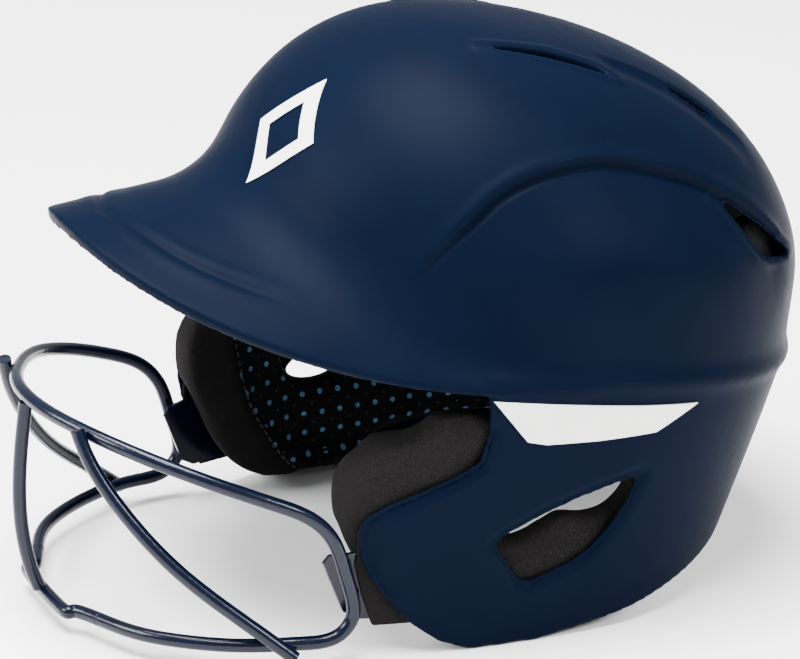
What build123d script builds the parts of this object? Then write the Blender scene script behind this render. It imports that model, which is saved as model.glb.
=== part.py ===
"""Ball-game helmet with two ear flaps, a brim, a padded liner and a bolted wire face guard.

Frame: +Z up, the wearer faces -Y, +X is the wearer's left, x = 0 is the plane of symmetry,
and z = 0 is the plane that the helmet stands on.  All sizes are in millimetres.
"""
from build123d import *
from functools import lru_cache
from math import *
import os

os.makedirs("parts", exist_ok=True)

# ---------------------------------------------------------------- driving sizes
SHIFT_Y = 0.2                    # centres the whole helmet on y = 0

# dome: a superellipsoid about a pitched base plane
HALF_WIDTH = 106.0
FRONT_REACH = 89.0
BACK_REACH = 134.5
RISE = 106.5
WIDEST_BACK = 25.0               # how far behind the crown axis the dome is widest
CROWN_Y, CROWN_Z = 14.0 + SHIFT_Y, 97.0
PITCH = radians(11.0)
SIDE_POWER, PLAN_POWER = 2.35, 2.15

# rim and brim
RIM_RISE = 1.0                   # rim above the dome's base plane at the sides and back
BRIM_TIP_Y, BRIM_TIP_Z = -127.0 + SHIFT_Y, 145.5
BRIM_ARCH, ARCH_ROUND = 0.68, 60.0
ROOT_ROUND = 17.0                # size of the concave curve between dome and brim
WAIST_DEPTH = 3.0                # how far the sides tuck in above the rim
WALL, RIM_EDGE = 3.0, 5.0        # thickness of the dome and of the rim's edge

# band: the wall below the rim, which carries the ear flaps
BAND_Y = 31.0 + SHIFT_Y
BAND_HALF_LOW, BAND_HALF_HIGH = 95.0, 103.0
BAND_BACK, BAND_FRONT = 119.5, 165.0
BAND_TAPER = 43.0                # how much the back of the band comes in at its foot
BAND_FOOT, BAND_OVERLAP = -4.0, 2.0              # band before trimming: below z = 0, up into the rim

# face guard
WIRE = 5.0
PLATE = 1.6
PLATE_DEPTH = 5.5                # plate below the band's outer surface
SCREWS = ((-41.0 + SHIFT_Y, 35.0), (-34.5 + SHIFT_Y, 21.0))
BOSS_RADIUS, INSERT_RADIUS, SCREW_RADIUS = 5.5, 3.0, 2.0
INSERT_DEPTH = 1.4               # bottom of the insert's pocket below the outer surface
WASHER_RADIUS, WASHER, HEAD_RADIUS, HEAD = 4.6, 0.7, 3.6, 1.9
HEAD_SEAT = PLATE_DEPTH + PLATE + WASHER + 0.05
RIVET_RADIUS, RIVET_HEAD = 2.2, 1.2
RIVETS = ((-57.5 + SHIFT_Y, 34.0), (-53.8 + SHIFT_Y, 23.5))

# liner
GAP = 0.3                        # between neighbouring soft pieces
LINER = 9.0
EAR_BASE = 10.4
EAR_PAD = 23.0
EAR_LINING = 16.0


# ---------------------------------------------------------------- surfaces
def signed_power(value, power):
    return copysign(abs(value) ** power, value)


def blend(value):
    """Smooth step from 0 to 1."""
    value = min(1.0, max(0.0, value))
    return value * value * (3 - 2 * value)


def dome(turn, climb):
    """Outer dome.  turn is 0 at the front, pi at the back; climb is pi/2 at the crown."""
    spread = signed_power(cos(climb), 2 / SIDE_POWER)
    height = RISE * signed_power(sin(climb), 2 / SIDE_POWER)
    ahead = -signed_power(cos(turn), 2 / PLAN_POWER)
    reach = FRONT_REACH + WIDEST_BACK if ahead < 0 else BACK_REACH - WIDEST_BACK
    back = (reach * ahead + WIDEST_BACK) * spread
    return Vector(
        HALF_WIDTH * signed_power(sin(turn), 2 / PLAN_POWER) * spread,
        CROWN_Y + back * cos(PITCH) + height * sin(PITCH),
        CROWN_Z - back * sin(PITCH) + height * cos(PITCH),
    )


RIM_CLIMB = asin((RIM_RISE / RISE) ** (SIDE_POWER / 2))


def rim(turn):
    """Outer lower edge: the brim's edge in front, the dome's foot behind."""
    ahead = cos(turn)
    if ahead <= 0:
        return dome(turn, RIM_CLIMB)
    side = dome(pi / 2, RIM_CLIMB)
    x = HALF_WIDTH * signed_power(sin(turn), 2 / PLAN_POWER)
    y = side.Y - (side.Y - BRIM_TIP_Y) * ahead ** (2 / PLAN_POWER)

    def arch(width):
        return BRIM_TIP_Z - BRIM_ARCH * (hypot(width, ARCH_ROUND) - ARCH_ROUND)

    return Vector(x, y, arch(x) + (side.Z - arch(HALF_WIDTH)) * blend(1 - ahead))


@lru_cache(maxsize=None)
def section(turn):
    """One half-section of the cap: where the dome ends, the root curve and the rim."""
    edge = rim(turn)
    root_z = edge.Z + 6 + 6 * sin(turn) ** 2
    low, high = -0.3, 1.5
    for _ in range(40):
        middle = (low + high) / 2
        if dome(turn, middle).Z < root_z:
            low = middle
        else:
            high = middle
    root = dome(turn, low)
    run = edge - root
    leave = min(ROOT_ROUND, 0.5 * run.length + 4)
    join = min(ROOT_ROUND, 0.5 * run.length)
    step = 0.02
    start_climb = low + step * leave / (dome(turn, low + step) - root).length
    start = dome(turn, start_climb)
    heading = (dome(turn, start_climb - step) - start).normalized()
    control = start + heading * leave * 0.92
    return start_climb, start, control, root + run.normalized() * join, edge


DOME_SHARE, ROOT_SHARE = 0.62, 0.80


def cap(turn, run):
    """Outer cap surface.  run is 0 at the crown and 1 at the rim."""
    start_climb, start, control, straight, edge = section(turn)
    if run <= DOME_SHARE:
        point = dome(turn, pi / 2 + (start_climb - pi / 2) * run / DOME_SHARE)
    elif run <= ROOT_SHARE:
        t = (run - DOME_SHARE) / (ROOT_SHARE - DOME_SHARE)
        point = start * (1 - t) ** 2 + control * (2 * t * (1 - t)) + straight * t**2
    else:
        t = (run - ROOT_SHARE) / (1 - ROOT_SHARE)
        point = straight + (edge - straight) * t
    above = point.Z - edge.Z
    waist = WAIST_DEPTH * blend(above / 9) * (1 - blend((above - 12) / 34)) * blend(1.3 * (1 - cos(turn)))
    return point + Vector(-sin(turn), cos(turn), 0) * waist


def base_height(y):
    """Height of the dome's pitched base plane at y."""
    return CROWN_Z - (y - CROWN_Y) * tan(PITCH)


def band(turn, z):
    """Outer band surface.  turn is 0 at the back and +-pi/2 where it is widest."""
    half = BAND_HALF_LOW + (BAND_HALF_HIGH - BAND_HALF_LOW) * blend((z + 7.5) / 100)
    depth = BAND_BACK - BAND_TAPER * max(0.0, (92.5 - z) / 100) ** 1.15
    reach = depth if cos(turn) > 0 else BAND_FRONT
    x = half * signed_power(sin(turn), 2 / PLAN_POWER)
    y = BAND_Y + reach * signed_power(cos(turn), 2 / PLAN_POWER)
    return Vector(x, y, z)


def normal(surface, a, b, step=1e-3):
    """Unit normal of surface(a, b), pointing out of the helmet."""
    along_a = surface(a + step, b) - surface(a - step, b)
    along_b = surface(a, b + step) - surface(a, b - step)
    return along_b.cross(along_a).normalized()


def below(surface, a, b, depth):
    """The point that lies depth under the outside of the surface, at surface(a, b)."""
    return surface(a, b) - normal(surface, a, b) * depth


def cap_below(u, v, depth):
    """Point under the cap's outside, from a square (u, v) of -1..1 mapped onto the round cap."""
    right, ahead = u * sqrt(1 - v * v / 2), v * sqrt(1 - u * u / 2)
    run = min(1.0, hypot(right, ahead))
    turn = atan2(right, ahead)
    if run < 0.02:
        return cap(turn, run) - Vector(0, sin(PITCH), cos(PITCH)) * depth
    across = cap(turn + 1e-3, run) - cap(turn - 1e-3, run)
    down = cap(turn, min(1.0, run + 1e-3)) - cap(turn, run - 1e-3)
    return cap(turn, run) - down.cross(across).normalized() * depth


def spaced(first, last, count):
    return [first + (last - first) * i / (count - 1) for i in range(count)]


def slab(outside, inside):
    """Closed solid between two grids of points, with ruled sides."""
    smooth = dict(tol=0.1, smoothing=(1, 1, 1), max_deg=5)
    outer = Face.make_surface_from_array_of_points(outside, **smooth)
    inner = Face.make_surface_from_array_of_points(inside, **smooth)
    sides = [Face.make_surface_from_curves(a, b) for a, b in zip(outer.edges(), inner.edges())]
    solid = Solid(Shell([outer, inner, *sides]))
    if solid.volume < 0:            # the grid ran the other way round
        return slab(outside[::-1], inside[::-1])
    return solid


def layer(surface, a_values, b_values, near, far):
    """Slab between two depths under a surface(a, b)."""
    return slab(
        [[below(surface, a, b, near) for b in b_values] for a in a_values],
        [[below(surface, a, b, far) for b in b_values] for a in a_values],
    )


def side_prism(points, left=True):
    """Prism along X over a side outline of (y, z) points, on one side of the helmet."""
    with BuildPart() as prism:
        with BuildSketch(Plane.YZ):
            with BuildLine():
                Polyline(*points, close=True)
            make_face()
        extrude(amount=130 if left else -130)
    return prism.part


def save(builder, label):
    builder.part.label = label
    export_step(builder.part, f"parts/{label}.step")
    print(f"{label:24s} {builder.part.volume / 1000:8.1f} cm3  valid {builder.part.is_valid}")


def shifted(points):
    return [(y + SHIFT_Y, z) for y, z in points]


SIDES = (("left", 1), ("right", -1))

# ---------------------------------------------------------------- side outlines, (y, z)
FLAP_OUTLINE = shifted((
    (-10, 150), (-9, 83), (-12, 72), (-20, 67.5), (-44, 58), (-51, 53.5), (-53, 47), (-51.5, 38),
    (-47, 28.5), (-41, 20), (-33, 11), (-24, 4), (-14, 0), (14, 0), (50, 5), (84, 12), (120, 19), (170, 23),
    (170, 150),
))
EAR_HOLE = shifted((
    (-5, 39.5), (5, 24), (9, 23), (23, 27.5), (31, 32), (39, 40), (45, 48.5), (49, 57.5),
    (37, 55.5), (24, 52.5), (11, 48), (0, 43),
))
BADGE = shifted(((-8.5, 95), (72, 81), (54, 74), (31, 75), (11, 76.5), (4, 78.5)))
REAR_VENT = shifted(((85, 151), (104, 127), (109, 123.5), (121, 119.5), (124, 119.5), (108, 134)))
PAD_OUTLINE = shifted((
    (-56.5, 50), (-57, 62), (-53, 72), (-43, 80), (-30, 84), (-33, 60), (-29, 38), (-17, 17), (-4, 9),
    (24, 9), (24, 2), (-12, 2), (-26, 5), (-37, 12), (-46, 24),
))
LINING_OUTLINE = shifted((
    (-26, 91), (-29, 88), (-32, 60), (-28, 39), (-16, 18), (-3, 10), (24, 10), (76, 17), (84, 30), (80, 78),
    (40, 87),
))
EAR_OPENING = shifted((
    (-9, 34), (-3, 40), (6, 37), (14, 41), (22, 46), (36, 43), (46, 45), (52, 62), (30, 72), (-2, 72), (-11, 50),
))
POCKET = shifted(((-70, 10), (-27, 10), (-27, 25), (-33, 32), (-33, 45), (-70, 45)))  # room for the bracket
PLATE_OUTLINE = shifted((
    (-62, 35), (-60, 38), (-40, 40), (-37, 40), (-35, 38), (-35, 32), (-29, 25), (-29, 15), (-31, 13),
    (-50, 13), (-55, 16),
))
SLEEVE_OUTLINE = shifted((
    (-51.5, 44.5), (-52.5, 34), (-50, 23), (-46, 10.5), (-27.5, 10.5), (-27.5, 24.8), (-33.5, 31.8),
    (-33.5, 44.5),
))
SLEEVE = (3.3, 5.2)              # the pad's cloth flap between shell and plate, as depths
EMBLEM_X, EMBLEM_Z, EMBLEM_SIZE, EMBLEM_BAR = 15.0, 172.0, 24.0, 5.0
TOP_VENT = ((33, 17), (37, 25), (45, 50), (49, 62), (44, 57), (37, 42))    # plan view, (x, y)
CROWN_VENT = ((38, 79), (46, 96), (48, 108), (43, 98))

# ---------------------------------------------------------------- surfaces for parts that hug the shell
def flap_place(y, z):
    """The band's turn angle on the +X side at (y, z)."""
    low, high = 0.02, 2.6
    for _ in range(40):
        middle = (low + high) / 2
        if band(middle, z).Y > y:
            low = middle
        else:
            high = middle
    return low


def band_plane(y, z, depth, side):
    """Plane under the band's outside at (y, z), its z axis pointing into the helmet."""
    turn = flap_place(y, z)
    origin = below(band, turn, z, depth)
    inward = -normal(band, turn, z)
    return Plane(
        origin=(side * origin.X, origin.Y, origin.Z),
        x_dir=(0, 0, 1),
        z_dir=(side * inward.X, inward.Y, inward.Z),
    )


def band_piece(outline, near, far, y_range, z_range, holes=()):
    """Left-hand slab under the band, cut to a side outline."""
    turns = spaced(flap_place(y_range[1], 45), flap_place(y_range[0], 45), 33)
    with BuildPart() as piece:
        add(layer(band, turns, spaced(*z_range, 21), near, far))
        with BuildSketch(Plane.YZ):
            with BuildLine():
                Polyline(*outline, close=True)
            make_face()
            for hole in holes:
                with BuildLine():
                    Polyline(*hole, close=True)
                make_face(mode=Mode.SUBTRACT)
        extrude(amount=130, mode=Mode.INTERSECT)
    return piece.part


def on_side(part, side):
    return part if side > 0 else part.mirror(Plane.YZ)


def dome_below(turn, climb, depth):
    return below(lambda a, b: dome(a, -b), turn, -climb, depth)


# ---------------------------------------------------------------- shell
SQUARE = spaced(-1, 1, 43)


def rim_depth(u, v):
    """Wall thickness, growing from the dome to the rim's edge."""
    run = hypot(u * sqrt(1 - v * v / 2), v * sqrt(1 - u * u / 2))
    return WALL + (RIM_EDGE - WALL) * blend((run - 0.86) / 0.14)


def band_strip(turn, share):
    """Band surface with share 0 at its foot and 1 just inside the rim's edge."""
    top = base_height(band(turn, 80).Y) + BAND_OVERLAP
    return band(turn, BAND_FOOT + (top - BAND_FOOT) * share)


with BuildPart() as band_wall:
    add(layer(band_strip, spaced(-2.25, 2.25, 61), spaced(0, 1, 15), 0, WALL))
    with BuildSketch(Plane.YZ):
        with BuildLine():
            Polyline(*FLAP_OUTLINE, close=True)
        make_face()
    extrude(amount=130, both=True, mode=Mode.INTERSECT)

with BuildPart() as shell:
    add(slab(
        [[cap_below(u, v, 0) for v in SQUARE] for u in SQUARE],
        [[cap_below(u, v, rim_depth(u, v)) for v in SQUARE] for u in SQUARE],
    ))
    add(band_wall.part, clean=False)
    # ear holes through both flaps
    with BuildSketch(Plane.YZ):
        with BuildLine():
            Polyline(*EAR_HOLE, close=True)
        make_face()
    extrude(amount=130, both=True, mode=Mode.SUBTRACT)
    # vents: slots over the crown, then wedges behind the temples
    for side in (1, -1):
        for slot in (TOP_VENT, CROWN_VENT):
            with BuildSketch(Plane.XY.offset(150)):
                with BuildLine():
                    Polyline(*[(side * x, y) for x, y in slot], close=True)
                make_face()
            extrude(amount=60, mode=Mode.SUBTRACT)
    with BuildSketch(Plane.YZ):
        with BuildLine():
            Polyline(*REAR_VENT, close=True)
        make_face()
    extrude(amount=130, both=True, mode=Mode.SUBTRACT)
    # bosses for the face guard's threaded inserts
    for name, side in SIDES:
        for y, z in SCREWS:
            with BuildSketch(band_plane(y, z, INSERT_DEPTH, side)):
                Circle(BOSS_RADIUS)
            extrude(amount=PLATE_DEPTH - INSERT_DEPTH)
    for name, side in SIDES:
        for y, z in SCREWS:
            with BuildSketch(band_plane(y, z, INSERT_DEPTH, side)):
                Circle(INSERT_RADIUS)
            extrude(amount=PLATE_DEPTH - INSERT_DEPTH, mode=Mode.SUBTRACT)
save(shell, "shell")


# ---------------------------------------------------------------- badges and emblem
badge_solid = band_piece(BADGE, -0.9, -0.1, (-16 + SHIFT_Y, 80 + SHIFT_Y), (60, 100))
for name, side in SIDES:
    with BuildPart() as badge:
        add(on_side(badge_solid, side))
    save(badge, f"badge_{name}")

# a plain rounded lozenge on the forehead, one ring wide
with BuildPart() as front_emblem:
    add(layer(cap, spaced(-0.75, 0.75, 25), spaced(0.25, 0.72, 25), -0.55, -0.25))
    with BuildSketch(Plane.XZ.offset(-CROWN_Y)):
        window = EMBLEM_SIZE - 2 * EMBLEM_BAR
        with Locations((EMBLEM_X, EMBLEM_Z)):
            Rectangle(EMBLEM_SIZE, EMBLEM_SIZE, rotation=45)
            Rectangle(window, window, rotation=45, mode=Mode.SUBTRACT)
    extrude(amount=150, mode=Mode.INTERSECT)
save(front_emblem, "front_emblem")

# ---------------------------------------------------------------- liner, soft parts
with BuildPart() as crown_liner:
    def dome_square(u, v, depth):
        right, ahead = u * sqrt(1 - v * v / 2), v * sqrt(1 - u * u / 2)
        climb = pi / 2 - min(1.0, hypot(right, ahead)) * (pi / 2 - 0.62)
        turn = atan2(right, ahead)
        if climb > pi / 2 - 0.02:
            return dome(turn, climb) - Vector(0, sin(PITCH), cos(PITCH)) * depth
        return dome_below(turn, climb, depth)

    near, far = WALL + GAP, WALL + GAP + LINER
    square = spaced(-1, 1, 31)
    add(slab(
        [[dome_square(u, v, near) for v in square] for u in square],
        [[dome_square(u, v, far) for v in square] for u in square],
    ))
save(crown_liner, "crown_liner")


def dome_pad(label, turns, climbs, near, thick):
    """Soft pad under the dome between two turns and two climbs."""
    with BuildPart() as pad:
        grid_turns, grid_climbs = spaced(*turns, 25), spaced(*climbs, 13)
        add(slab(
            [[dome_below(a, b, near) for b in grid_climbs] for a in grid_turns],
            [[dome_below(a, b, near + thick) for b in grid_climbs] for a in grid_turns],
        ))
    save(pad, label)


SIDE_DEPTH = WALL + WAIST_DEPTH + GAP
dome_pad("brow_pad", (-0.80, 0.80), (0.24, 0.56), WALL + 1.5, 14)
dome_pad("rear_liner", (pi - 0.95, pi + 0.95), (0.12, 0.56), SIDE_DEPTH, 10)
dome_pad("temple_pad_left", (0.86, pi - 1.01), (0.16, 0.56), SIDE_DEPTH, 9)
dome_pad("temple_pad_right", (pi + 1.01, 2 * pi - 0.86), (0.16, 0.56), SIDE_DEPTH, 9)
dome_pad("crown_pad_left", (0.35, pi - 0.35), (0.75, 1.25), WALL + 2 * GAP + LINER, 6)
dome_pad("crown_pad_right", (pi + 0.35, 2 * pi - 0.35), (0.75, 1.25), WALL + 2 * GAP + LINER, 6)

with BuildPart() as nape_pad:
    add(layer(band, spaced(-0.85, 0.85, 25), spaced(22, 66, 11), WALL + GAP, WALL + GAP + 12))
save(nape_pad, "nape_pad")

FLAP_Y = (-66 + SHIFT_Y, 92 + SHIFT_Y)
ear_base = band_piece(PAD_OUTLINE, WALL + GAP, EAR_BASE, FLAP_Y, (-4, 96))
ear_pad = band_piece(PAD_OUTLINE, EAR_BASE + GAP, EAR_PAD, FLAP_Y, (-4, 96))
ear_lining = band_piece(LINING_OUTLINE, WALL + GAP, EAR_LINING, FLAP_Y, (-4, 96), holes=(EAR_OPENING,))
sleeve = band_piece(SLEEVE_OUTLINE, *SLEEVE, FLAP_Y, (-4, 96))
for name, side in SIDES:
    with BuildPart() as ear_pad_base:
        add(on_side(ear_base, side))
        add(on_side(side_prism(POCKET), side), mode=Mode.SUBTRACT)
    save(ear_pad_base, f"ear_pad_base_{name}")
    with BuildPart() as ear_cushion:
        add(on_side(ear_pad, side))
    save(ear_cushion, f"ear_pad_{name}")
    with BuildPart() as bracket_sleeve:
        add(on_side(sleeve, side))
        for y, z in SCREWS:
            with BuildSketch(band_plane(y, z, 0, side)):
                Circle(BOSS_RADIUS + GAP)
            extrude(amount=2 * PLATE_DEPTH, mode=Mode.SUBTRACT)
    save(bracket_sleeve, f"bracket_sleeve_{name}")
    with BuildPart() as lining:
        add(on_side(ear_lining, side))
    save(lining, f"ear_lining_{name}")

# ---------------------------------------------------------------- face guard
HOOP_TOP = ((0, -141.5, 82.5), (34, -133, 80.2), (58, -118, 75.8), (73, -99.5, 69), (80.5, -81, 61.5))
HOOP_SIDE = ((83.2, -67.5, 54), (84, -60.5, 45), (84.2, -57.5, 36), (84.2, -54.5, 25), (84, -54, 16))
HOOP_FOOT = ((83.8, -58.5, 10.4), (82, -72, 8.6), (75, -92, 8.6), (62, -110.5, 8.5), (44, -124, 8.2),
             (22, -134, 7.7), (0, -137.5, 7.5))
BAR = ((0, -142.1, 80.2), (0, -144.3, 64), (0, -145.6, 44), (0, -144, 25), (0, -139.4, 9.3))
STRUT = ((38.5, -136.8, 82.5), (44, -132.8, 69), (52.5, -124.8, 54), (65.5, -111, 36), (78, -92.8, 19.5),
         (86.3, -76.5, 5.5))


def wire(points, ends=None):
    """Round wire along a smooth curve through the points."""
    moved = [(x, y + SHIFT_Y, z) for x, y, z in points]
    with BuildPart() as rod:
        with BuildLine() as route:
            Spline(*moved, tangents=ends)
        with BuildSketch(Plane(origin=route.line @ 0, z_dir=route.line % 0)):
            Circle(WIRE / 2)
        sweep()
    return rod.part


half_hoop = wire(HOOP_TOP + HOOP_SIDE + HOOP_FOOT, ends=((1, 0, 0), (-1, 0, 0)))
with BuildPart() as mask_hoop:
    add(half_hoop)
    mirror(about=Plane.YZ)
save(mask_hoop, "mask_hoop")

with BuildPart() as mask_centre_bar:
    add(wire(BAR))
save(mask_centre_bar, "mask_centre_bar")

strut = wire(STRUT)
for name, side in SIDES:
    with BuildPart() as mask_strut:
        add(on_side(strut, side))
    save(mask_strut, f"mask_strut_{name}")

plate = band_piece(PLATE_OUTLINE, PLATE_DEPTH, PLATE_DEPTH + PLATE, (-74 + SHIFT_Y, -20 + SHIFT_Y), (4, 50))
for name, side in SIDES:
    with BuildPart() as mask_bracket:
        add(on_side(plate, side))
        for y, z in SCREWS:
            with BuildSketch(band_plane(y, z, PLATE_DEPTH - 1, side)):
                Circle(SCREW_RADIUS)
            extrude(amount=PLATE + 2, mode=Mode.SUBTRACT)
    save(mask_bracket, f"mask_bracket_{name}")


with BuildPart() as threaded_inserts:
    for name, side in SIDES:
        for y, z in SCREWS:
            with BuildSketch(band_plane(y, z, INSERT_DEPTH, side)):
                Circle(INSERT_RADIUS)
                Circle(SCREW_RADIUS, mode=Mode.SUBTRACT)
            extrude(amount=PLATE_DEPTH - INSERT_DEPTH)
save(threaded_inserts, "threaded_inserts")

with BuildPart() as screw_washers:
    for name, side in SIDES:
        for y, z in SCREWS:
            with BuildSketch(band_plane(y, z, HEAD_SEAT - WASHER, side)):
                Circle(WASHER_RADIUS)
                Circle(SCREW_RADIUS, mode=Mode.SUBTRACT)
            extrude(amount=WASHER)
save(screw_washers, "screw_washers")

with BuildPart() as mask_screws:
    for name, side in SIDES:
        for y, z in SCREWS:
            with BuildSketch(band_plane(y, z, INSERT_DEPTH, side)):
                Circle(SCREW_RADIUS)
            extrude(amount=HEAD_SEAT - INSERT_DEPTH)
            with BuildSketch(band_plane(y, z, HEAD_SEAT, side)):
                Circle(HEAD_RADIUS)
            extrude(amount=HEAD, taper=18)
save(mask_screws, "mask_screws")

with BuildPart() as bracket_rivets:
    for name, side in SIDES:
        for y, z in RIVETS:
            seat = band_plane(y, z, PLATE_DEPTH, side)
            with BuildSketch(Plane(seat.origin, x_dir=seat.x_dir, z_dir=-seat.z_dir)):
                Circle(RIVET_RADIUS)
            extrude(amount=RIVET_HEAD, taper=30)
save(bracket_rivets, "bracket_rivets")
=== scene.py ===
"""Looks for the batting helmet: moulded shell, sewn pads, dotted lining and coated wire guard."""
import math

import bpy
import numpy as np
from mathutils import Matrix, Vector
from mathutils.bvhtree import BVHTree


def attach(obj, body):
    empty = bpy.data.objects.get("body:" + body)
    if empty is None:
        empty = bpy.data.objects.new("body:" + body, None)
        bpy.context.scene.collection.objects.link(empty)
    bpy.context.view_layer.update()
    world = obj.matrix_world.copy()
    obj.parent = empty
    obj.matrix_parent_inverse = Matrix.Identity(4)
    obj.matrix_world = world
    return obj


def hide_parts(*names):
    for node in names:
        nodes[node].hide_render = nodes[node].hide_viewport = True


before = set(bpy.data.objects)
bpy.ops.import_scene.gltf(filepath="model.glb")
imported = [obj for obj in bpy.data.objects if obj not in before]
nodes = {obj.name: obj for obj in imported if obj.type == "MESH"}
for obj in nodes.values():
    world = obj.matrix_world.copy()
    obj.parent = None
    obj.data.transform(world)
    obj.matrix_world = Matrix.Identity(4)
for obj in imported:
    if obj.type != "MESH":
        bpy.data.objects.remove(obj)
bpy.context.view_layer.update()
MM = 0.001
Y0 = 0.2                       # how far the frame is shifted along Y, in mm
SIDES = (("left", 1), ("right", -1))


# ---------------------------------------------------------------- mesh helpers
def piece(name, mesh):
    obj = bpy.data.objects.new(name, mesh)
    bpy.context.scene.collection.objects.link(obj)
    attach(obj, "root")
    return obj


def apply_modifiers(obj):
    bpy.context.view_layer.update()
    graph = bpy.context.evaluated_depsgraph_get()
    mesh = bpy.data.meshes.new_from_object(obj.evaluated_get(graph))
    obj.modifiers.clear()
    obj.data = mesh


def positions(obj):
    co = np.empty(len(obj.data.vertices) * 3)
    obj.data.vertices.foreach_get("co", co)
    return co.reshape(-1, 3)


def set_positions(obj, co):
    obj.data.vertices.foreach_set("co", np.asarray(co, float).ravel())
    obj.data.update()


def normals(obj):
    no = np.empty(len(obj.data.vertices) * 3)
    obj.data.vertex_normals.foreach_get("vector", no)
    return no.reshape(-1, 3)


def shade_smooth(obj):
    obj.data.polygons.foreach_set("use_smooth", [True] * len(obj.data.polygons))
    obj.data.update()


def remeshed(name, node, voxel, smoothing=0):
    """A new piece with the shape of a CAD node, as an even mesh."""
    obj = piece(name, nodes[node].data.copy())
    obj.data.materials.clear()
    change = obj.modifiers.new("remesh", "REMESH")
    change.mode = "VOXEL"
    change.voxel_size = voxel
    if smoothing:
        soften = obj.modifiers.new("soften", "SMOOTH")
        soften.factor = 0.5
        soften.iterations = smoothing
    apply_modifiers(obj)
    shade_smooth(obj)
    return obj


def step(value):
    value = np.clip(value, 0, 1)
    return value * value * (3 - 2 * value)


def rising(value, start, over):
    """0 up to start and 1 from start + over on, with a smooth climb between."""
    return step((value - start) / over)


def falling(value, end, over):
    """1 up to end - over and 0 from end on, with a smooth fall between."""
    return step((end - value) / over)


def ridge(distance, middle, width):
    """1 at the middle distance, with a bell-shaped fall to both sides."""
    return np.exp(-((distance - middle) / width) ** 2)


def line_distance(points, line, closed=False):
    """Distance of each (n, 2) point from a line of points, and the side of it that they are on."""
    line = np.asarray(line, float)
    ends = np.roll(line, -1, 0) if closed else line[1:]
    starts = line if closed else line[:-1]
    best = np.full(len(points), np.inf)
    side = np.ones(len(points))
    for a, b in zip(starts, ends):
        run = b - a
        t = np.clip(((points - a) @ run) / (run @ run), 0, 1)
        gap = points - (a + t[:, None] * run)
        away = np.hypot(gap[:, 0], gap[:, 1])
        nearer = away < best
        best[nearer] = away[nearer]
        side[nearer] = np.sign(run[0] * gap[nearer, 1] - run[1] * gap[nearer, 0])
    return best, side


def curved(line, rounds=3):
    """The line with its corners cut, so that a crease along it has no kinks."""
    line = np.asarray(line, float)
    for _ in range(rounds):
        a, b = line[:-1], line[1:]
        cut = np.stack((a * 0.75 + b * 0.25, a * 0.25 + b * 0.75), 1).reshape(-1, line.shape[1])
        line = np.vstack((line[:1], cut, line[-1:]))
    return line


def inside(points, line):
    """Which of the (n, 2) points the closed line goes round."""
    line = np.asarray(line, float)
    found = np.zeros(len(points), bool)
    for a, b in zip(line, np.roll(line, -1, 0)):
        crosses = (a[1] > points[:, 1]) != (b[1] > points[:, 1])
        if abs(b[1] - a[1]) > 1e-9:
            along = (points[:, 1] - a[1]) / (b[1] - a[1])
            found ^= crosses & (points[:, 0] < (b[0] - a[0]) * along + a[0])
    return found


# ---------------------------------------------------------------- material helpers
class Shader:
    """One material's nodes, written down in order."""

    def __init__(self, name, rough, metallic=0.0, specular=0.5, coat=0.0, sheen=0.0):
        self.material = bpy.data.materials.new(name)
        self.material.use_nodes = True
        self.tree = self.material.node_tree
        self.shader = self.tree.nodes["Principled BSDF"]
        self.shader.inputs["Roughness"].default_value = rough
        self.shader.inputs["Metallic"].default_value = metallic
        self.shader.inputs["Specular IOR Level"].default_value = specular
        self.shader.inputs["Coat Weight"].default_value = coat
        self.shader.inputs["Sheen Weight"].default_value = sheen
        self.place = self.add("ShaderNodeTexCoord").outputs["Object"]
        self.height = None

    def add(self, kind, **inputs):
        node = self.tree.nodes.new(kind)
        for key, value in inputs.items():
            self.feed(node.inputs[key.replace("_", " ")], value)
        return node

    def feed(self, socket, value):
        if isinstance(value, bpy.types.NodeSocket):
            self.tree.links.new(value, socket)
        else:
            socket.default_value = value

    def math(self, operation, a, b=0.0, c=0.0):
        node = self.tree.nodes.new("ShaderNodeMath")
        node.operation = operation
        for socket, value in zip(node.inputs, (a, b, c)):
            self.feed(socket, value)
        return node.outputs[0]

    def noise(self, scale, detail=3.0, roughness=0.5):
        node = self.add("ShaderNodeTexNoise", Vector=self.place, Scale=scale, Detail=detail,
                        Roughness=roughness)
        return node.outputs["Fac"]

    def ramp(self, value, *stops):
        node = self.add("ShaderNodeValToRGB", Fac=value)
        ramp = node.color_ramp
        while len(ramp.elements) < len(stops):
            ramp.elements.new(0.5)
        for element, (at, colour) in zip(ramp.elements, stops):
            element.position = at
            element.color = (*colour, 1)
        return node.outputs["Color"]

    def scaled(self, value, low, high):
        node = self.add("ShaderNodeMapRange", Value=value)
        node.inputs["To Min"].default_value = low
        node.inputs["To Max"].default_value = high
        return node.outputs[0]

    def colour(self, value):
        self.feed(self.shader.inputs["Base Color"], value)

    def roughness(self, value):
        self.feed(self.shader.inputs["Roughness"], value)

    def bump(self, height, distance, strength=1.0):
        node = self.add("ShaderNodeBump", Height=height)
        node.inputs["Distance"].default_value = distance
        node.inputs["Strength"].default_value = strength
        if self.height is not None:
            self.tree.links.new(self.height, node.inputs["Normal"])
        self.height = node.outputs["Normal"]
        self.tree.links.new(self.height, self.shader.inputs["Normal"])


def give(material, *objs):
    for obj in objs:
        if len(obj.material_slots) == 0:
            obj.data.materials.append(material)
        for slot in obj.material_slots:
            slot.material = material


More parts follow.
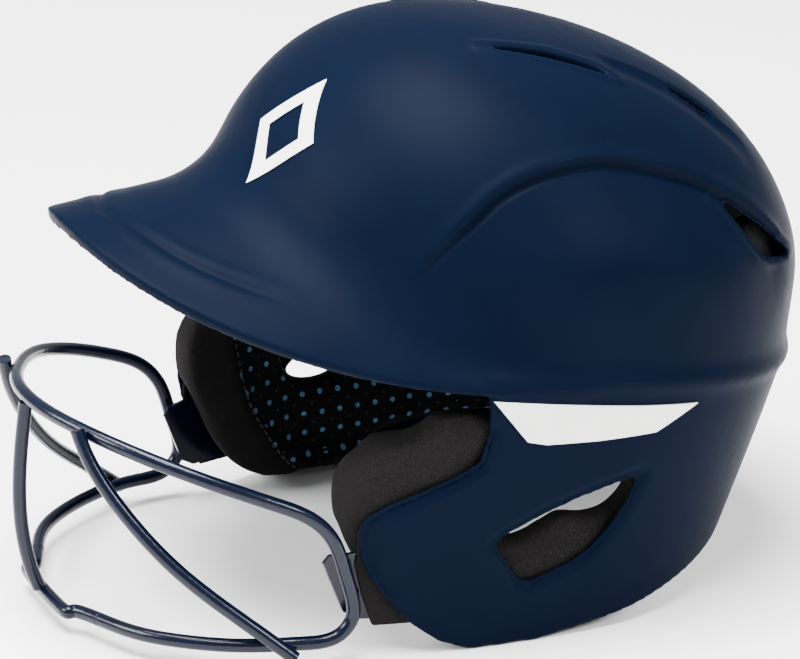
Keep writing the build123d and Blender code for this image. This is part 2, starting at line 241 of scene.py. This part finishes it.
# ---------------------------------------------------------------- materials
def moulded_plastic():
    """Soft-touch painted ABS: fine orange peel, faint mottling in gloss and colour."""
    m = Shader("matt_navy_plastic", 0.42, specular=0.5)
    m.shader.inputs["IOR"].default_value = 1.07
    mottle = m.noise(38, 4)
    m.colour(m.ramp(mottle, (0.3, (0.0010, 0.0028, 0.0088)), (0.7, (0.0012, 0.0033, 0.0102))))
    m.roughness(m.scaled(m.noise(210, 3), 0.40, 0.50))
    m.bump(m.noise(900, 2), 0.00008, 0.35)
    m.bump(m.noise(3800, 1), 0.00003, 0.5)
    return m.material


def coated_wire():
    """Thick powder coat on the wire: glossy, with orange peel and small dimples."""
    m = Shader("gloss_navy_coating", 0.2, specular=0.4, coat=0.06)
    m.shader.inputs["IOR"].default_value = 1.3
    m.shader.inputs["Coat Roughness"].default_value = 0.09
    m.colour(m.ramp(m.noise(160, 3), (0.3, (0.0007, 0.0018, 0.0078)), (0.7, (0.0010, 0.0026, 0.0105))))
    m.roughness(m.scaled(m.noise(420, 3), 0.15, 0.28))
    m.bump(m.noise(520, 2), 0.00022, 0.35)
    return m.material


def woven(name, dark, light, pitch=0.00075, sheen=0.004):
    """Wrapped pad cloth: two crossing thread directions, fuzz and soft creases."""
    m = Shader(name, 0.86, specular=0.02, sheen=sheen)
    m.shader.inputs["Sheen Roughness"].default_value = 0.5
    uv = m.add("ShaderNodeUVMap")
    uv.uv_map = "cloth"
    split = m.add("ShaderNodeSeparateXYZ", Vector=uv.outputs[0])
    turns = 2 * math.pi / pitch
    warp = m.math("SINE", m.math("MULTIPLY", split.outputs[0], turns))
    weft = m.math("SINE", m.math("MULTIPLY", split.outputs[1], turns))
    weave = m.math("MULTIPLY", warp, weft)
    fuzz = m.noise(1400, 3)
    shade = m.math("ADD", m.math("MULTIPLY", weave, 0.22), fuzz)
    m.colour(m.ramp(shade, (0.25, dark), (0.8, light)))
    m.bump(m.noise(55, 3), 0.0016, 0.35)
    m.bump(weave, 0.00022, 0.8)
    m.bump(fuzz, 0.0001, 0.5)
    return m, uv


DOT_PITCH, SMALL_DOT, LARGE_DOT = 0.0075, 0.0005, 0.00105        # in metres, the dots by radius


def dotted_lining():
    """Black knit with a staggered print of blue dots and smaller, fainter ones between."""
    m, uv = woven("dotted_knit", (0.0025, 0.0025, 0.0029), (0.0085, 0.0086, 0.0096), 0.0009)
    base = m.shader.inputs["Base Color"].links[0].from_socket

    def dots(radius, shift):
        moved = m.add("ShaderNodeVectorMath")
        moved.operation = "ADD"
        m.tree.links.new(uv.outputs[0], moved.inputs[0])
        moved.inputs[1].default_value = (shift, shift, 0)
        cell = m.add("ShaderNodeTexVoronoi", Vector=moved.outputs[0], Scale=1 / DOT_PITCH, Randomness=0.0)
        cell.voronoi_dimensions = "2D"
        distance = m.math("MULTIPLY", cell.outputs["Distance"], DOT_PITCH)
        return m.math("LESS_THAN", distance, radius)

    def printed(under, mask, colour):
        mix = m.tree.nodes.new("ShaderNodeMix")
        mix.data_type = "RGBA"
        m.tree.links.new(mask, mix.inputs["Factor"])
        m.tree.links.new(under, mix.inputs["A"])
        mix.inputs["B"].default_value = (*colour, 1)
        return mix.outputs["Result"]

    shown = printed(base, dots(SMALL_DOT, 0.0), (0.022, 0.034, 0.048))
    shown = printed(shown, dots(LARGE_DOT, DOT_PITCH / 2), (0.065, 0.165, 0.270))
    m.colour(shown)
    return m.material


def white_film(name, colour):
    m = Shader(name, 0.36, specular=0.5)
    m.colour(m.ramp(m.noise(120, 3), (0.3, tuple(c * 0.95 for c in colour)), (0.7, colour)))
    m.roughness(m.scaled(m.noise(600, 2), 0.32, 0.42))
    m.bump(m.noise(1500, 2), 0.00003, 0.4)
    return m.material


def metal(name, low, high, rough):
    m = Shader(name, rough, metallic=1.0)
    m.colour(m.ramp(m.noise(700, 4), (0.3, low), (0.7, high)))
    m.roughness(m.scaled(m.noise(1500, 3), rough - 0.07, rough + 0.1))
    m.bump(m.noise(2500, 2), 0.00004, 0.4)
    return m.material


def foam():
    """Closed-cell liner foam: fine pores under a skin."""
    m = Shader("liner_foam", 0.8, specular=0.05)
    pores = m.add("ShaderNodeTexVoronoi", Vector=m.place, Scale=620.0).outputs["Distance"]
    m.colour(m.ramp(m.noise(90, 4), (0.3, (0.004, 0.0042, 0.0046)), (0.7, (0.007, 0.0072, 0.008))))
    m.bump(m.noise(70, 3), 0.0008, 0.3)
    m.bump(pores, 0.0003, 0.5)
    return m.material


plastic = moulded_plastic()
wire = coated_wire()
cloth = woven("black_pad_cloth", (0.0040, 0.0037, 0.0039), (0.0150, 0.0140, 0.0136))[0].material
dotted = dotted_lining()
badge_film = white_film("pale_badge_film", (0.78, 0.78, 0.76))
mark_film = white_film("white_mark_film", (0.86, 0.86, 0.86))
steel = metal("screw_steel", (0.36, 0.36, 0.37), (0.55, 0.55, 0.56), 0.32)
brass = metal("insert_brass", (0.50, 0.36, 0.15), (0.66, 0.50, 0.24), 0.35)
thread = woven("seam_thread", (0.035, 0.034, 0.036), (0.110, 0.108, 0.112), 0.0004)[0].material
foam_skin = foam()


# ---------------------------------------------------------------- shell
BASE_Y, BASE_Z, PITCH = 14.0, 98.0, 11.0        # a point and the slope of the plane under the dome
HEAD = (0, 30, 90)                              # the middle of the head
SHELL_VOXEL = 0.0009
STEP_ROUNDS = 90


def in_mm(obj):
    """The piece's vertices in the CAD's millimetres, before its shift along Y."""
    co = positions(obj) / MM
    co[:, 1] -= Y0
    return co


ARCH = ((-25, 140), (-17, 148.4), (-6, 157.2), (1, 162.4), (12.6, 167), (24.3, 169), (40, 169.7),
        (55, 166), (71, 160.5), (80, 156.7), (92, 149.2), (103.6, 140.8), (114, 130.5))
GROOVE = ((0, -111.6), (23.5, -105.6), (43.5, -96), (65.5, -72), (78, -48))
EAR_HOLE = ((-5, 39.5), (5, 24), (9, 23), (23, 27.5), (31, 32), (39, 40), (45, 48.5), (49, 57.5),
            (37, 55.5), (24, 52.5), (11, 48), (0, 43))
REAR_VENT = ((85, 151), (104, 127), (109, 123.5), (121, 119.5), (124, 119.5), (108, 134))
TOP_SLOT = ((17, 33), (25, 37), (50, 45), (62, 49), (57, 44), (42, 37))        # (y, |x|)
SCREWS = ((-41, 35), (-34.5, 21))
CROWN_SLIT = ((62, 34), (79, 38), (96, 46), (112, 50))
FLAP_FRONT = ((-9, 83), (-12, 72), (-20, 67.5), (-44, 58), (-51, 53.5), (-53, 47), (-51.5, 38),
              (-47, 28.5), (-41, 20), (-33, 11), (-24, 4), (-14, 0))


def arched_step(co, x, leaning_out):
    """The side panel sinks under the arched edge of the dome, with a drawn line and a faint lip."""
    away, side = line_distance(co[:, 1:3], curved(ARCH))
    under = -away * side
    panel = 1.9 * rising(under, -0.7, 1.4) * (1 - rising(under, 3, 30))
    line = 1.5 * ridge(under, 0.6, 1.3)
    lip = 0.5 * ridge(under, -2.2, 2.0)
    fade = rising(co[:, 1], -34, 26) * falling(co[:, 1], 124, 14) * rising(x, 38, 14)
    return (lip - line - panel) * fade * (leaning_out > 0.1)


def brim_groove(co, x, no):
    """A soft groove across the root of the brim, with a low rise beside it."""
    away, _ = line_distance(np.column_stack((x, co[:, 1])), curved(GROOVE))
    along = falling(x, 74, 26) * falling(co[:, 1], -52, 18)
    brim = rising(no[:, 2], 0, 0.4) * (co[:, 2] > 100)
    return (0.35 * ridge(away, 4, 2.5) - 0.8 * ridge(away, 0, 1.6)) * along * brim


def flap_edges(co, x, leaning_out):
    """A chamfer round the flap's front edge, shallow by the screws, and a sunk edge round the ear hole."""
    flank = rising(leaning_out, 0.1, 0.6) * (x > 70) * (co[:, 2] < 88)
    away, _ = line_distance(co[:, 1:3], FLAP_FRONT)
    wide = 4.5 + 7.5 * falling(co[:, 2], 62, 22)
    chamfer = 2.4 * np.clip(1 - away / wide, 0, 1) * flank * rising(co[:, 2], 6, 16) * (co[:, 1] < 0)
    for y, z in SCREWS:
        near = np.hypot(co[:, 1] - y, co[:, 2] - z)
        chamfer = np.minimum(chamfer, 0.9 + 1.6 * rising(near, 4, 5))
    away, _ = line_distance(co[:, 1:3], EAR_HOLE, closed=True)
    return -chamfer - 2.0 * np.clip(1 - away / 4.5, 0, 1) * flank


def vent_lips(co, x, no, leaning_out):
    """Raised lips round the rear vents and the top slots, and a long dished slit over the crown."""
    away, _ = line_distance(co[:, 1:3], REAR_VENT, closed=True)
    rear = rising(leaning_out, 0, 0.4) * (x > 45) * rising(co[:, 2], 116, 8)
    plan = np.column_stack((co[:, 1], x))
    crown = rising(no[:, 2], 0.2, 0.3) * (co[:, 2] > 150)
    top_away, _ = line_distance(plan, TOP_SLOT, closed=True)
    slit_away, side = line_distance(plan, curved(CROWN_SLIT))
    within = slit_away * side
    ends = rising(co[:, 1], 58, 14) * falling(co[:, 1], 116, 14)
    slit = rising(within, -0.8, 1.6) * (1 - rising(within, 2, 12)) * crown * ends
    return 0.9 * ridge(away, 2.2, 1.6) * rear + 0.8 * ridge(top_away, 2, 1.8) * crown - 1.8 * slit


def detail_shell(obj):
    """Moulded creases, sunk edges and lips, as moves in mm along the outer surface's normals."""
    co, no = in_mm(obj), normals(obj)
    x = np.abs(co[:, 0])
    leaning_out = no[:, 0] * np.sign(co[:, 0])
    outward = np.einsum("ij,ij->i", no, co - np.array(HEAD)) > 0
    move = arched_step(co, x, leaning_out) + brim_groove(co, x, no)
    move += flap_edges(co, x, leaning_out) + vent_lips(co, x, no, leaning_out)
    set_positions(obj, positions(obj) + no * (move * outward * MM)[:, None])


def soften_step(obj, levels=10):
    """Fills the corner between the dome's rim and the band to a soft hollow."""
    co, no = in_mm(obj), normals(obj)
    outward = np.einsum("ij,ij->i", no[:, :2], co[:, :2] - np.array(HEAD[:2])) > 0
    seam = BASE_Z - (co[:, 1] - BASE_Y) * math.tan(math.radians(PITCH))
    weight = ridge(co[:, 2] - seam, -2, 7.0) * outward * rising(co[:, 1], -12, 20)
    group = obj.vertex_groups.new(name="step")
    for level in range(1, levels + 1):
        chosen = np.nonzero((weight * levels).round() == level)[0].tolist()
        if chosen:
            group.add(chosen, level / levels, "REPLACE")
    soften = obj.modifiers.new("step", "SMOOTH")
    soften.vertex_group = "step"
    soften.factor, soften.iterations = 0.9, STEP_ROUNDS
    apply_modifiers(obj)


shell = remeshed("shell_moulding", "shell", SHELL_VOXEL, 7)
soften_step(shell)
detail_shell(shell)
rounded = shell.modifiers.new("rounded", "SMOOTH")
rounded.factor, rounded.iterations = 0.5, 2
apply_modifiers(shell)
shade_smooth(shell)
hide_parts("shell")
give(plastic, shell)


# ---------------------------------------------------------------- padded pieces
PAD_VOXEL, CUSHION_VOXEL, PART_VOXEL, SLEEVE_VOXEL = 0.0045, 0.0035, 0.0025, 0.0008        # in metres
THIN = 0.001                   # covers with finer voxels than this are too thin to swell as cloth
PRESSURE, FRAMES = 4.0, 20
SHELL_SIDE_SWELL = 0.0008      # most that a pad swells against the shell, in metres
CAVITY = (0, 0.032, 0.085)     # the middle of the hollow that the pads line, in metres


def cloth_uv(obj):
    """Flat map in metres, by the way each face looks, so that prints and weaves keep their size."""
    mesh = obj.data
    co = positions(obj)
    layer = mesh.uv_layers.new(name="cloth") if "cloth" not in mesh.uv_layers else mesh.uv_layers["cloth"]
    index = np.empty(len(mesh.loops), int)
    mesh.loops.foreach_get("vertex_index", index)
    face_normal = np.empty(len(mesh.polygons) * 3)
    mesh.polygons.foreach_get("normal", face_normal)
    face_normal = np.abs(face_normal.reshape(-1, 3)) * (1.0, 0.8, 1.0)
    totals = np.empty(len(mesh.polygons), int)
    mesh.polygons.foreach_get("loop_total", totals)
    main = np.repeat(face_normal.argmax(1), totals)
    point = co[index]
    first = np.where(main == 0, point[:, 1], point[:, 0])
    second = np.where(main == 2, point[:, 1], point[:, 2])
    layer.data.foreach_set("uv", np.column_stack((first, second)).ravel())


LINED_AREA = ((-31, 88), (-34, 63), (-30, 36.5), (-17.5, 14.5), (-9.5, 6), (0, 3.5), (60, 3), (100, 20),
              (100, 110), (-31, 110))


def lined(obj, inner, outer, side):
    """inner's print on the lined area of the faces towards the head, outer's cloth elsewhere."""
    obj.data.materials.clear()
    obj.data.materials.append(inner)
    obj.data.materials.append(outer)
    face = np.empty(len(obj.data.polygons) * 3)
    obj.data.polygons.foreach_get("normal", face)
    away = face.reshape(-1, 3)[:, 0] * side > -0.35
    obj.data.polygons.foreach_get("center", face)
    middle = face.reshape(-1, 3)[:, 1:] / MM - (Y0, 0)
    plain = away | ~inside(middle, LINED_AREA)
    obj.data.polygons.foreach_set("material_index", plain.astype(int))
    obj.data.update()


def wrapped(name, parts, voxel, grow=0.0014):
    """One even mesh round several neighbouring CAD solids, with the gaps between them closed."""
    verts, faces = [], []
    for part in parts:
        obj = remeshed(name + "_part", part, PART_VOXEL, 2)
        faces += [[len(verts) + i for i in polygon.vertices] for polygon in obj.data.polygons]
        verts += (positions(obj) + normals(obj) * grow).tolist()
        bpy.data.objects.remove(obj)
    mesh = bpy.data.meshes.new(name)
    mesh.from_pydata(verts, [], faces)
    mesh.update()
    obj = piece(name, mesh)
    change = obj.modifiers.new("remesh", "REMESH")
    change.mode = "VOXEL"
    change.voxel_size = voxel
    apply_modifiers(obj)
    set_positions(obj, positions(obj) - normals(obj) * grow)
    soften = obj.modifiers.new("soften", "SMOOTH")
    soften.factor, soften.iterations = 0.5, 5
    apply_modifiers(obj)
    shade_smooth(obj)
    return obj


def pad(node, material, voxel=PAD_VOXEL, swell=0.0035, shrink=0.0014, soften=6):
    """A sewn foam pad that replaces one CAD solid."""
    obj = remeshed(node + "_cover", node, voxel, soften)
    return puffed(obj, [node], material, voxel, swell, shrink)


def puffed(obj, replaced, material, voxel, swell, shrink):
    """Draws an even mesh in a little, then swells it as cloth, mostly towards the head."""
    start = positions(obj) - normals(obj) * shrink
    set_positions(obj, start)
    if voxel > THIN:
        puff = obj.modifiers.new("cloth", "CLOTH")
        puff.settings.use_pressure = True
        puff.settings.uniform_pressure_force = PRESSURE
        puff.settings.quality = 6
        puff.settings.mass = 0.3
        puff.settings.effector_weights.gravity = 0.0
        for number in range(1, FRAMES + 1):
            bpy.context.scene.frame_set(number)
        apply_modifiers(obj)
        bpy.context.scene.frame_set(1)
        moved = positions(obj) - start
        far = np.linalg.norm(moved, axis=1, keepdims=True)
        out = start - np.array(CAVITY)
        out /= np.linalg.norm(out, axis=1, keepdims=True)
        facing = np.einsum("ij,ij->i", normals(obj), out)
        cap = np.where(facing > 0.3, SHELL_SIDE_SWELL, swell)[:, None]
        set_positions(obj, start + moved * np.minimum(1, cap / np.maximum(far, 1e-9)))
        even = obj.modifiers.new("even", "SMOOTH")
        even.factor, even.iterations = 0.5, 3
    finer = obj.modifiers.new("finer", "SUBSURF")
    finer.levels = finer.render_levels = 2 if voxel > CUSHION_VOXEL else 1
    apply_modifiers(obj)
    shade_smooth(obj)
    cloth_uv(obj)
    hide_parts(*replaced)
    give(material, obj)
    return obj


cushions = {}
for name, side in SIDES:
    parts = [part + name for part in ("ear_pad_", "ear_pad_base_", "ear_lining_")]
    cushion = wrapped("ear_cushion_" + name, parts, CUSHION_VOXEL)
    puffed(cushion, parts, cloth, CUSHION_VOXEL, 0.0030, 0.0008)
    lined(cushion, dotted, cloth, side)
    cushions[name] = cushion
    pad("temple_pad_" + name, cloth)
    pad("crown_pad_" + name, cloth)
    pad("bracket_sleeve_" + name, cloth, SLEEVE_VOXEL, 0.0002, 0.0001, 2)
for node in ("brow_pad", "nape_pad"):
    pad(node, cloth)
for node in ("crown_liner", "rear_liner"):
    pad(node, foam_skin, PAD_VOXEL, 0.001, 0.0005, 3)


# ---------------------------------------------------------------- seams
SEAM = ((-34, 78), (-34, 63), (-30, 36.5), (-17.5, 14.5), (-9.5, 6), (0, 3.5))             # (y, z) in mm
SEAM_SINK, SEAM_WIDTH = 0.0011, 0.0022
STITCH_PITCH, STITCH_LENGTH = 0.0034, 0.0023
THREAD_RADIUS, THREAD_SIDES, THREAD_RISE = 0.00042, 6, 0.00015
TAPER = ((0, 0.25), (0.15, 0.8), (0.5, 1.0), (0.85, 0.8), (1, 0.25))        # (along the stitch, thickness)


def seam_path(points, parts=8, rounds=6):
    """The line in metres, in short runs, with its corners eased."""
    line = np.array([(y + Y0, z) for y, z in points]) * MM
    fine = [line[0]]
    for a, b in zip(line[:-1], line[1:]):
        fine += [a + (b - a) * t / parts for t in range(1, parts + 1)]
    line = np.array(fine)
    for _ in range(rounds):
        line[1:-1] = (line[:-2] + 2 * line[1:-1] + line[2:]) / 4
    return line


def stitch(start, end, normal):
    """Vertices and faces of one length of thread, thinner towards both ends."""
    run = end - start
    across = run.cross(normal).normalized()
    up = across.cross(run).normalized()
    verts, faces = [], []
    for t, size in TAPER:
        for k in range(THREAD_SIDES):
            turn = 2 * math.pi * k / THREAD_SIDES
            spoke = across * math.cos(turn) + up * math.sin(turn)
            verts.append(tuple(start + run * t + spoke * THREAD_RADIUS * size))
    last = len(verts) - THREAD_SIDES
    for ring in range(0, last, THREAD_SIDES):
        for k in range(THREAD_SIDES):
            a, b = ring + k, ring + (k + 1) % THREAD_SIDES
            faces.append((a, b, b + THREAD_SIDES, a + THREAD_SIDES))
    faces.append(tuple(range(THREAD_SIDES - 1, -1, -1)))
    faces.append(tuple(range(last, last + THREAD_SIDES)))
    return verts, faces


def sewn_line(name, cover, points, side):
    """A seam across the inner face of a cover: a drawn-in groove with thread stitches in it."""
    line = seam_path(points)
    co, no = positions(cover), normals(cover)
    away, _ = line_distance(co[:, 1:3], line)
    faces_in = no[:, 0] * side < -0.15
    set_positions(cover, co - no * (SEAM_SINK * ridge(away, 0, SEAM_WIDTH) * faces_in)[:, None])
    tree = BVHTree.FromObject(cover, bpy.context.evaluated_depsgraph_get())
    lengths = np.concatenate(([0], np.cumsum(np.linalg.norm(np.diff(line, axis=0), axis=1))))
    verts, faces = [], []
    for k in range(int(lengths[-1] / STITCH_PITCH)):
        hits = []
        for at in (k * STITCH_PITCH, k * STITCH_PITCH + STITCH_LENGTH):
            y, z = (float(np.interp(at, lengths, line[:, i])) for i in (0, 1))
            place, normal, _, _ = tree.ray_cast(Vector((0, y, z)), Vector((side, 0, 0)))
            if place is not None:
                hits.append((place - Vector((side * THREAD_RISE, 0, 0)), normal))
        if len(hits) < 2:
            continue
        new_verts, new_faces = stitch(hits[0][0], hits[1][0], hits[0][1])
        faces += [tuple(len(verts) + i for i in face) for face in new_faces]
        verts += new_verts
    mesh = bpy.data.meshes.new(name)
    mesh.from_pydata(verts, [], faces)
    mesh.update()
    obj = piece(name, mesh)
    shade_smooth(obj)
    cloth_uv(obj)
    give(thread, obj)


for name, side in SIDES:
    sewn_line("ear_seam_" + name, cushions[name], SEAM, side)


# ---------------------------------------------------------------- CAD nodes that keep their shape
for node in ("mask_hoop", "mask_centre_bar", "mask_strut_left", "mask_strut_right",
             "mask_bracket_left", "mask_bracket_right"):
    give(wire, nodes[node])
give(badge_film, nodes["badge_left"], nodes["badge_right"])
give(mark_film, nodes["front_emblem"])
give(steel, nodes["mask_screws"], nodes["screw_washers"])
give(wire, nodes["bracket_rivets"])
give(brass, nodes["threaded_inserts"])


# ---------------------------------------------------------------- floor, light and camera
FLOOR, FLOOR_DROP = 6.0, 0.0004        # half width, and how far it lies below the part, in metres
floor_shader = Shader("pale_floor", 0.9, specular=0.05)
mottle = floor_shader.noise(2, 2)
floor_shader.colour(floor_shader.ramp(mottle, (0.3, (0.94, 0.94, 0.94)), (0.7, (0.95, 0.95, 0.95))))
ground = bpy.data.meshes.new("floor")
corners = [(-FLOOR, -FLOOR, 0), (FLOOR, -FLOOR, 0), (FLOOR, FLOOR, 0), (-FLOOR, FLOOR, 0)]
ground.from_pydata(corners, [], [(0, 1, 2, 3)])
floor = bpy.data.objects.new("floor", ground)
floor.location.z = -FLOOR_DROP
bpy.context.scene.collection.objects.link(floor)
give(floor_shader.material, floor)

world = bpy.data.worlds.new("studio")
bpy.context.scene.world = world
world.use_nodes = True
world.node_tree.nodes["Background"].inputs["Color"].default_value = (1, 1, 1, 1)
world.node_tree.nodes["Background"].inputs["Strength"].default_value = 0.8

TARGET = Vector((0, (28 + Y0) * MM, 0.0825))


def softbox(name, place, size, power, aim=TARGET):
    lamp = bpy.data.lights.new(name, "AREA")
    lamp.shape = "RECTANGLE"
    lamp.size, lamp.size_y = size
    lamp.energy = power
    obj = bpy.data.objects.new(name, lamp)
    obj.location = place
    obj.rotation_euler = (aim - Vector(place)).to_track_quat("-Z", "Y").to_euler()
    bpy.context.scene.collection.objects.link(obj)


softbox("top_box", (0.0, -0.25, 1.55), (1.2, 0.9), 135.0)
softbox("front_box", (-0.3, -1.3, 0.9), (0.8, 0.6), 44.0)
softbox("side_box", (1.3, 0.75, 1.15), (0.35, 0.5), 30.0)

AZIMUTH, CLIMB, DISTANCE = math.radians(65), math.radians(20), 1.5
SENSOR, FOCAL_LENGTH = 36.0, 184.275             # in mm
OFF_RIGHT, OFF_UP = 0.016117, 0.000366           # TARGET's place beside the line of sight, as slopes
back = Vector((math.sin(AZIMUTH) * math.cos(CLIMB), -math.cos(AZIMUTH) * math.cos(CLIMB), math.sin(CLIMB)))
right = Vector((math.cos(AZIMUTH), math.sin(AZIMUTH), 0))
up = back.cross(right)
look = -back - right * OFF_RIGHT - up * OFF_UP
lens = bpy.data.cameras.new("camera")
lens.sensor_width = SENSOR
lens.lens = FOCAL_LENGTH
camera = bpy.data.objects.new("camera", lens)
camera.location = TARGET + back * DISTANCE
camera.rotation_euler = look.to_track_quat("-Z", "Y").to_euler()
bpy.context.scene.collection.objects.link(camera)
bpy.context.scene.camera = camera
